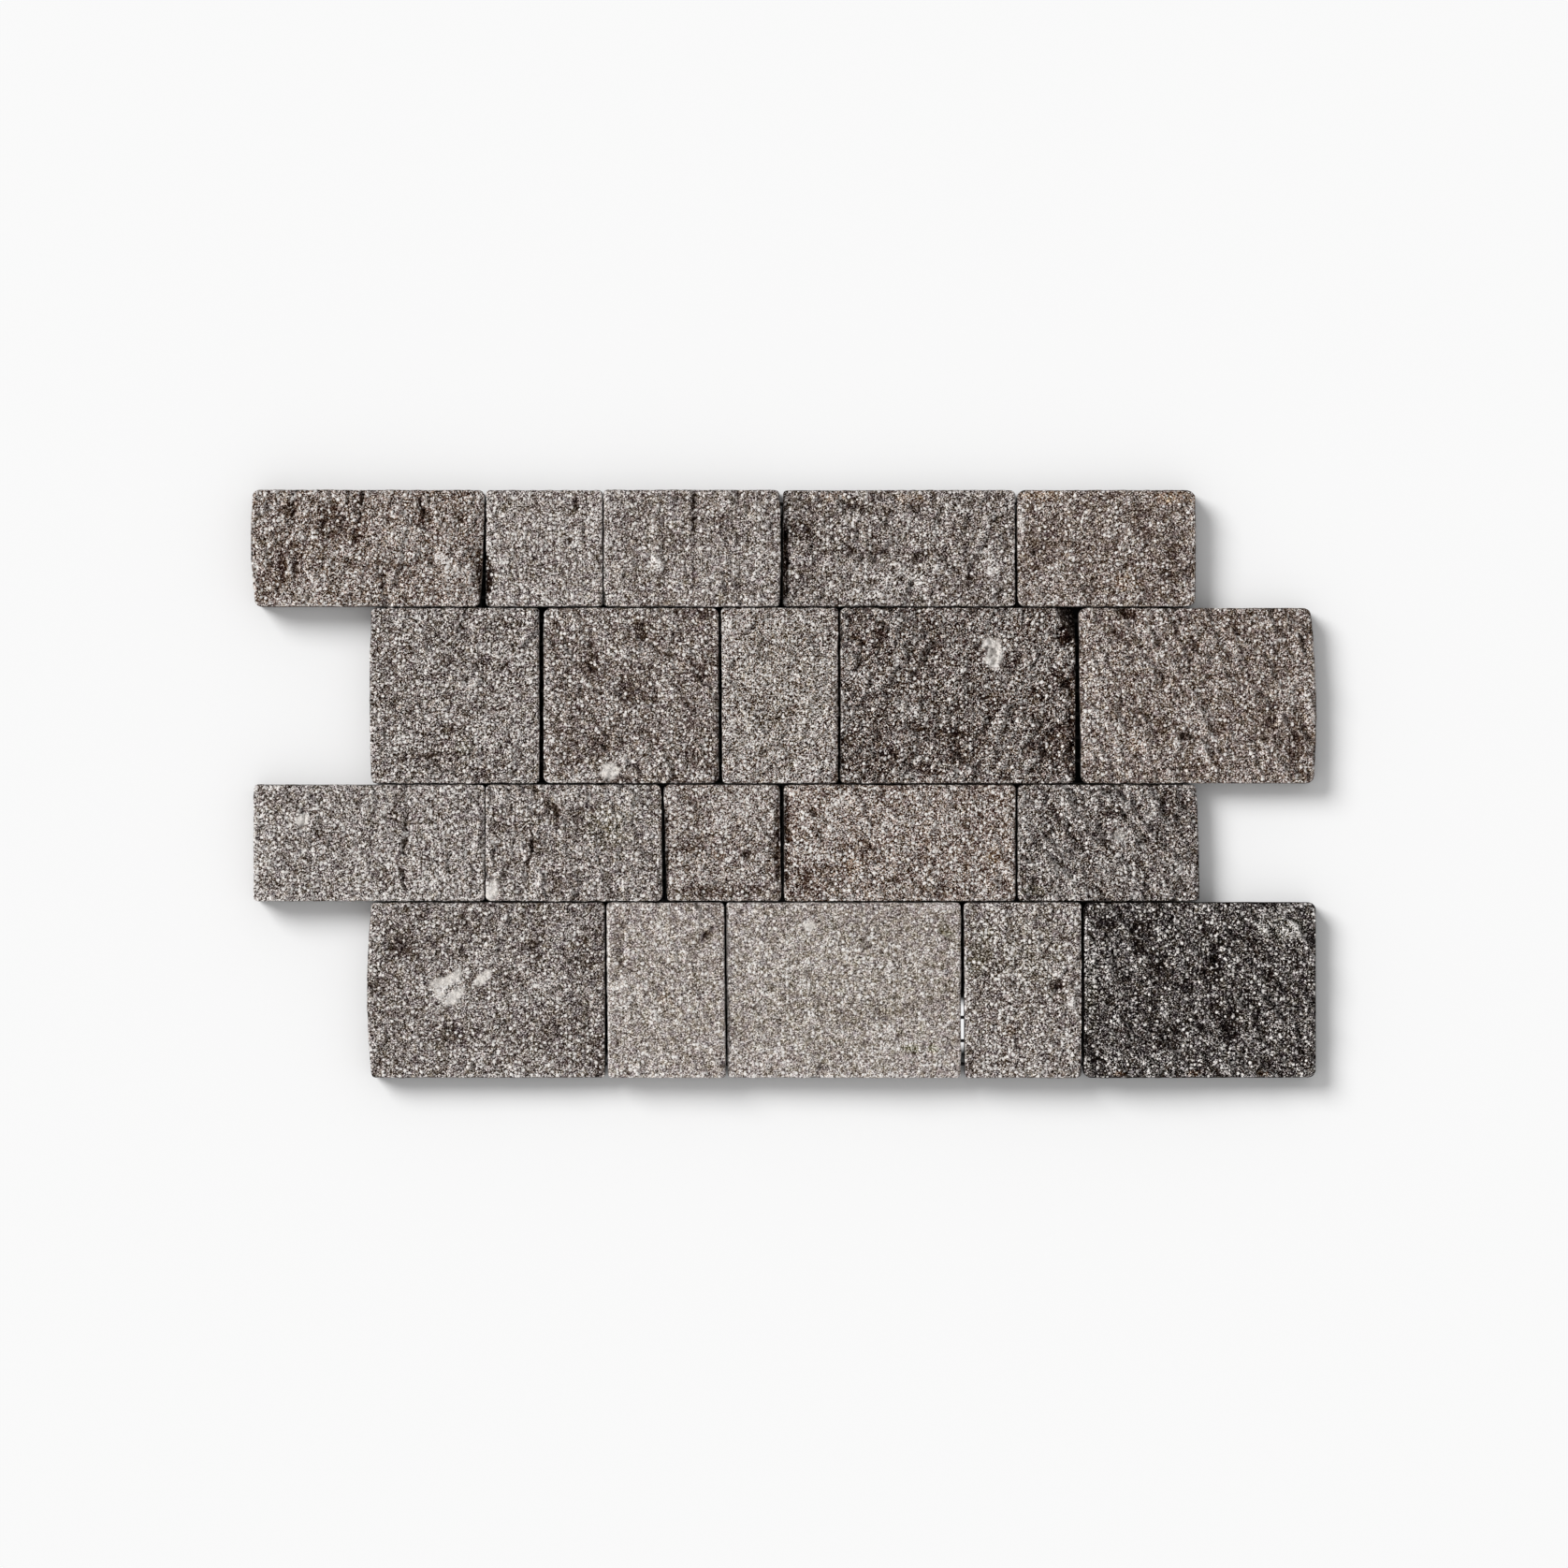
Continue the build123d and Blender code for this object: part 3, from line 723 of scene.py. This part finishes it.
def split_relief(piece, stone, number):
    """Pushes the split face in and out, and stores what the material has to know of it."""
    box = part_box(stone.node)
    tree = bpy.data.node_groups.new(stone.node + "_relief", "GeometryNodeTree")
    for way in ("INPUT", "OUTPUT"):
        tree.interface.new_socket("Geometry", in_out=way, socket_type="NodeSocketGeometry")
    start = Knot(tree)
    shape = start.add("NodeGroupInput")
    normal = start.add("GeometryNodeInputNormal")
    place = start.add("GeometryNodeInputPosition").vector("MULTIPLY", TO_MM)
    there = elsewhere(place, number)
    x, y, z = place.axis("X"), place.axis("Y"), place.axis("Z")

    def settle(name, value):
        """Stores a value, so that it is worked out only once, and reads it back."""
        nonlocal shape
        keep = {"data_type": "FLOAT", "domain": "POINT"}
        values = {"Geometry": shape, "Name": name, "Value": value}
        shape = start.add("GeometryNodeStoreNamedAttribute", keep, values)
        return start.add("GeometryNodeInputNamedAttribute", {"data_type": "FLOAT"}, {"Name": name})

    split = settle("split", normal.axis("Z").step(0.25, 0.8))
    waves = settle("waves", crags(there, stone))
    edge = (noise(there, 2.5, 4, 0.65) - 0.5) * 1.3 + (noise(there, 7, 1) - 0.5) * 1.2
    ragged = settle("ragged", edge)
    cracks = settle("cracks", clefts(place, there, stone))
    wobble = (noise(there, 3, 3, 0.6) - 0.5) * 1.1
    hollow = hollows(x, y, there, wobble, stone)
    depth, looks = stains(x, y, waves, ragged, stone)
    chip, wear_and_painted_light = arris(x, y, there, wobble, box)
    # wear is bright, and the rest is painted light and shade: humps brighter than dips, pits and clefts dark
    looks["broad"] = wear_and_painted_light * 0.4 + waves * 0.62 - hollow * 2.0 - cracks * 3.0
    for name, value in looks.items():
        settle(name, value * split)
    height = waves - depth - chip * CHIP - hollow * PIT - cracks * CLEFT - LOWER
    height = height.math("MINIMUM", cad_box[1].z * 1000 + PROUD - z)
    upwards = start.add("ShaderNodeCombineXYZ", None, {"Z": split * height * MM})
    sideways = normal.scale(flanks(z, there, box[1].z * 1000) * (1 - split) * MM)
    push = sideways.vector("ADD", upwards)
    shape = start.add("GeometryNodeSetPosition", None, {"Geometry": shape, "Offset": push})
    for name in ("waves", "ragged", "cracks"):
        shape = start.add("GeometryNodeRemoveAttribute", None, {"Geometry": shape, "Name": name})
    start.add("NodeGroupOutput", None, {0: shape})
    only(piece)
    bpy.ops.object.modifier_add(type="NODES")
    piece.modifiers[-1].node_group = tree
    bpy.ops.object.modifier_apply(modifier=piece.modifiers[-1].name)
    bpy.data.node_groups.remove(tree)


# %% [markdown]
# ## Lava stone
# Close up, andesite is salt and pepper: cream feldspar, dark glass and pores, about a millimetre across. A
# flat grey with bump would look like concrete. Here Voronoi grains and fine noise change the brightness by
# powers of two, so that light grains stand out as much as dark pores do. The colour is a few steps redder and
# yellower than grey, as many in the dark places as in the light ones. A tint that grows with the brightness
# would make pale stones too brown. Sawn sides show the same grain at lower contrast, with the marks of the
# saw.

# %% Grain
STORED = ("split", "broad", "shade", "redder", "yellower", "fleck")


def new_material(name):
    """A material, its shader, and the place of each point in millimetres."""
    material = bpy.data.materials.new(name)
    material.use_nodes = True
    shader = material.node_tree.nodes["Principled BSDF"]
    place = Knot(material.node_tree).add("ShaderNodeTexCoord", out="Object")
    return material, shader, place.vector("MULTIPLY", TO_MM)


def grains_of(place, size, share, small, large):
    """Round grains in some of the cells: 1 inside a grain, with the random colour of its cell."""
    pick = cells(place, size, "Color")
    radius = small + (large - small) * pick.axis("Y")
    uneven = (noise(place, 0.6 * size, 1) - 0.5) * 0.2
    inside = (cells(place, size) + uneven - radius).step(0.05, -0.05)
    return inside * pick.axis("X").step(0.99 - share, 1.01 - share), pick


def grain(there, stone, shade):
    """The grain's brightness in powers of two, its round grains, and how far it stands out."""
    salt = (cells(there, 0.42, "Color").axis("X") - 0.5) * 4.0
    pores = grains_of(there, 0.85, 0.6, 0.34, 0.5)[0]
    specks, speck = grains_of(there, 0.66, 0.45, 0.32, 0.48)
    rounds, rounded = grains_of(there, 1.8, 0.12 + 0.5 * stone.grains, 0.28, 0.44)
    # a shade darkens or lightens the ground between the grains more than the grains
    ground = salt - pores * 2.3 + shade / stone.contrast
    ground = ground + (1.1 + 0.9 * speck.axis("Z") - ground * 0.6) * specks
    ground = ground + (1.7 + 1.2 * rounded.axis("Z") - ground * 0.8) * rounds
    return ground, rounds, rounds + specks * 0.6 - pores * 0.8 + salt * 0.2


# %% Colour
GREY = 0.162  # the stones' middle brightness
GAMMA = 2.2  # from brightness to steps on the screen
# WHITE is also the colour of three painted highlights along left edges in the bottom course
WHITE = (0.88, 0.83, 0.78, 1)  # flecks of feldspar
BRIGHTEST = (0.92, 0.885, 0.855, 1)


def tinted(power, there, stone, stored):
    """The colour of a brightness in powers of two, a few screen steps redder and yellower than grey."""
    tint = noise(there, 3, 2, out="Color")
    red = (tint.axis("X") - 0.5) * 11 + 11.4 + 2.9 * stone.warmth + stored["redder"]
    yellow = (tint.axis("Y") - 0.5) * 30 + 6.2 + 2.0 * stone.warmth + stored["yellower"]
    # sawn sides are greyer
    warm = 0.45 + 0.55 * stored["split"]
    screen = (2.0 ** power * (GREY * stone.tone)).math("POWER", 1 / GAMMA)
    blue = (screen - yellow * warm / 255).math("MAXIMUM", 0.02)
    channels = (screen + red * warm / 255, screen, blue)
    values = {place: channel.math("POWER", GAMMA) for place, channel in enumerate(channels)}
    return power.add("ShaderNodeCombineColor", None, values)


# %% Stone material
def lava_stone(stone, number):
    """The material of one stone, from its tone, warmth, contrast, grains and marks."""
    material, shader, place = new_material(stone.node + "_lava")
    there = elsewhere(place, number)
    stored = {}
    for name in STORED:
        stored[name] = place.add("ShaderNodeAttribute", {"attribute_name": name}, out="Fac")
    split = stored["split"]
    ground, rounds, rise = grain(there, stone, stored["shade"])
    patches = (noise(there, 4, 3, 0.6) - 0.5) * (0.6 + 0.9 * stone.rough) + (noise(there, 16, 2) - 0.5)
    power = ground * (0.4 + 0.6 * split) * stone.contrast + patches + stored["broad"]
    # painted shade: the sides are darker, the more so the deeper they are in the joints
    power = power - (0.4 + place.axis("Z").step(12, 4) * 0.8) * (1 - split)
    colour = tinted(power, there, stone, stored)
    crumbs = noise(there, 0.9, 3, 0.7).step(0.25, 0.55)
    # white flecks, and the painted highlights of three thin white marks along left edges
    colour = colour.colour(WHITE, stored["fleck"] * crumbs)
    colour.colour(BRIGHTEST, 1.0, "DARKEN").into(shader, "Base Color")
    (0.95 - rounds * 0.25).into(shader, "Roughness")
    shader.inputs["Specular IOR Level"].default_value = 0.06
    across = place.dot((1, 1, 0))
    saw = ((across + noise(there, 20, 1) * 2) * 3.1).math("SINE") * (1 - split) * 0.3
    relief = {"Strength": 0.9, "Distance": 0.3 * MM, "Height": rise * split + saw}
    place.add("ShaderNodeBump", None, relief).into(shader, "Normal")
    return material


# %% Dressing the stones
triangles = 0
for number, stone in enumerate(STONES, start=1):
    piece = fine_skin(stone.node)
    split_relief(piece, stone, number)
    piece.data.materials.clear()
    piece.data.materials.append(lava_stone(stone, number))
    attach(piece, "root")
    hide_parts(stone.node)
    triangles += sum(len(face.vertices) - 2 for face in piece.data.polygons)
print("stones dressed:", len(STONES), "triangles:", triangles)

# %% [markdown]
# ## The net
# The net is coated glass-fibre yarn: white, slightly glossy, with the filaments showing along each yarn. The
# CAD yarns have the right shape, so they only get a material. Their upper side, which is all that can be seen
# of them down in the joints, is painted near black as shade.

# %% Yarn material
YARN_DARK, YARN_LIGHT = (0.52, 0.52, 0.49, 1), (0.76, 0.76, 0.72, 1)
SMUDGE = (0.55, 0.52, 0.48, 1)
YARN_TOP_PAINTED_SHADE = (0.05, 0.045, 0.04, 1)


def coated_yarn(name, along, box):
    """White coated glass fibre, with its filaments along one axis and painted shade on its upper side."""
    material, shader, place = new_material(name)
    stretch = (0.06, 1, 1) if along == "X" else (1, 0.06, 1)
    fibre = noise(place.vector("MULTIPLY", stretch), 0.18, 2)
    shades = {0: fibre, 6: YARN_DARK, 7: YARN_LIGHT}
    colour = place.add("ShaderNodeMix", {"data_type": "RGBA"}, shades, 2)
    colour = colour.colour(SMUDGE, noise(place, 6, 3).step(0.55, 0.8) * 0.5)
    # painted shade: the upper side of the yarn is near black
    painted_shade_on_top = place.axis("Z").step(box[0].z * 1000 + 0.1, box[1].z * 1000 - 0.1)
    colour.colour(YARN_TOP_PAINTED_SHADE, painted_shade_on_top).into(shader, "Base Color")
    (0.4 + fibre * 0.3).into(shader, "Roughness")
    relief = {"Strength": 0.6, "Distance": 0.05 * MM, "Height": fibre}
    place.add("ShaderNodeBump", None, relief).into(shader, "Normal")
    return material


for node, along in (("net_warp_yarns", "X"), ("net_weft_yarns", "Y")):
    piece = frame["nodes"][node]
    piece.data.materials.clear()
    piece.data.materials.append(coated_yarn(node + "_glass", along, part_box(node)))
    print("yarns dressed:", node)

# %% [markdown]
# ## The floor
# The photograph's ground is white, but its joints are black. A real floor would show through them, so it is
# painted dark under the middle of the panel, as painted shade. Under one joint of the bottom course the floor
# glows, a painted light with no lamp behind it.

# %% Floor
FLOOR_WHITE, FLOOR_PAINTED_SHADE = (0.97, 0.97, 0.97, 1), (0.02, 0.02, 0.02, 1)
UNDER_LENGTH, UNDER_HEIGHT = 168, 118  # half sizes of the dark part, in millimetres
BLACK, PAINTED_GLOW = (0, 0, 0, 1), (1, 1, 1, 1)

bpy.ops.object.select_all(action="DESELECT")
bpy.ops.mesh.primitive_plane_add(size=6, location=(0, 0, 0))
floor = bpy.context.active_object
floor.name = "floor"
paint, matt, spread = new_material("white_floor")
matt.inputs["Roughness"].default_value = 0.9
matt.inputs["Specular IOR Level"].default_value = 0.0
x, y = spread.axis("X"), spread.axis("Y")
# painted shade: the floor is near black under the middle of the panel
under = (UNDER_LENGTH - x.math("ABSOLUTE")).step(0, 4) * (UNDER_HEIGHT - y.math("ABSOLUTE")).step(0, 4)
shades = {0: under, 6: FLOOR_WHITE, 7: FLOOR_PAINTED_SHADE}
spread.add("ShaderNodeMix", {"data_type": "RGBA"}, shades, 2).into(matt, "Base Color")
# painted light: the floor glows under one joint of the bottom course, though it is no lamp
gleam = spot(x, y, spread.axis("Z"), mark("gleam", 1028, 1097, 12, 30))
glows = {0: gleam, 6: BLACK, 7: PAINTED_GLOW}
spread.add("ShaderNodeMix", {"data_type": "RGBA"}, glows, 2).into(matt, "Emission Color")
matt.inputs["Emission Strength"].default_value = 0.9
floor.data.materials.append(paint)

# %% [markdown]
# ## Light
# In the photograph the stones are lit from the left, while the shadow on the white falls to the right and
# below, so one sun can't give both. Light linking lets one sun light the stones and another one the floor.
# Both are wide, for soft shadows, and a plain white world fills them.

# %% Suns
world = bpy.data.worlds.new("studio")
bpy.context.scene.world = world
world.use_nodes = True
world.node_tree.nodes["Background"].inputs["Color"].default_value = (1, 1, 1, 1)
world.node_tree.nodes["Background"].inputs["Strength"].default_value = 0.5


def sun(name, lit, azimuth, elevation, energy, angle):
    """A sun that lights some pieces only, though all of them cast its shadows. Its angles are in degrees."""
    light = bpy.data.lights.new(name, "SUN")
    light.energy = energy
    light.angle = radians(angle)
    lamp = bpy.data.objects.new(name, light)
    bpy.context.scene.collection.objects.link(lamp)
    turn, rise = radians(azimuth), radians(elevation)
    toward = Vector((cos(turn) * cos(rise), sin(turn) * cos(rise), sin(rise)))
    lamp.rotation_euler = toward.to_track_quat("Z", "Y").to_euler()
    lamp.light_linking.receiver_collection = bpy.data.collections.new(name + "_on")
    for piece in lit:
        lamp.light_linking.receiver_collection.objects.link(piece)


panel = [piece for piece in bpy.data.objects if piece.type == "MESH" and piece != floor]
sun("window_on_stone", panel, azimuth=190, elevation=38, energy=2.46, angle=14)
sun("window_on_floor", [floor], azimuth=142, elevation=40, energy=2.36, angle=30)
print("pieces lit by the first sun:", len(panel))

# %% [markdown]
# ## Camera
# The photograph looks straight down, and shows no perspective. A camera far above the panel, with a narrow
# lens, gives nearly that.

# %% Camera
VIEW = 2 * MIDDLE * PIXEL * MM
FACE_HEIGHT = 14 * MM
DISTANCE = 3.0
lens = bpy.data.cameras.new("camera")
lens.angle = 2 * atan(VIEW / 2 / DISTANCE)
camera = bpy.data.objects.new("camera", lens)
bpy.context.scene.collection.objects.link(camera)
camera.location = (0, 0, FACE_HEIGHT + DISTANCE)
bpy.context.scene.camera = camera
bpy.context.scene.view_settings.view_transform = "Standard"
